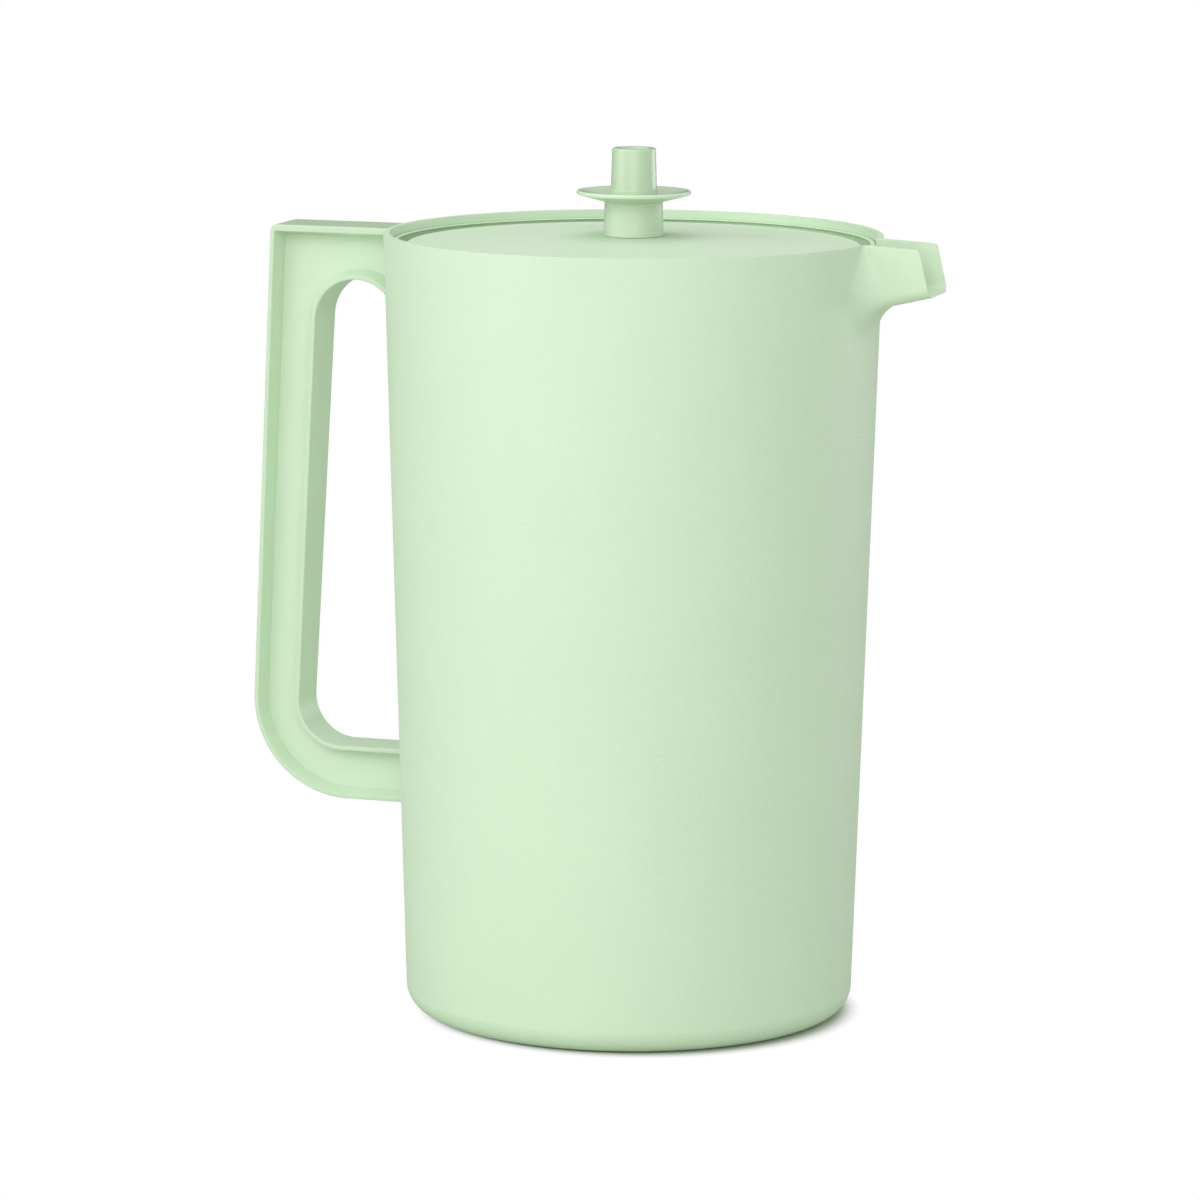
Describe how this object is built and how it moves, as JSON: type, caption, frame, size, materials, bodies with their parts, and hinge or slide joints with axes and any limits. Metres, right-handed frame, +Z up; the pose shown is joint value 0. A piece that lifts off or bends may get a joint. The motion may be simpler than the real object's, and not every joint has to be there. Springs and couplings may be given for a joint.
{
  "type": "pitcher",
  "caption": "Tall tapered plastic pitcher with a moulded I-section handle, an open-top spout and a recessed lid with finger flange and push button.",
  "frame": {"origin": "centre of the base's underside, on the cup's axis", "axes": "+Z up along the cup's axis, +X towards the spout, handle at -X"},
  "size_m": [0.2257, 0.1582, 0.277],
  "materials": {
    "body_plastic": "fine leather grain outside, smooth satin handle",
    "lid_plastic": "fine matte grain",
    "grip_plastic": "matte hub, smooth flange",
    "button_plastic": "semi-gloss",
    "seal_plastic": "satin, flexible"
  },
  "bodies": {
    "pitcher": {"pitcher_body": "body_plastic"},
    "lid": {"lid_cover": "lid_plastic", "finger_grip": "grip_plastic", "lid_diaphragm": "seal_plastic"},
    "button": {"push_button": "button_plastic"}
  },
  "joints": [
    {"name": "lid_lift", "type": "slide", "parent": "pitcher", "child": "lid", "axis": [0, 0, 1], "range_m": [0, 0.06]},
    {"name": "button_press", "type": "slide", "parent": "lid", "child": "button", "axis": [0, 0, -1], "range_m": [0, 0.005], "stiffness_N_per_m": 2000, "springref_m": -0.0005, "deforming": ["lid_diaphragm"]}
  ]
}
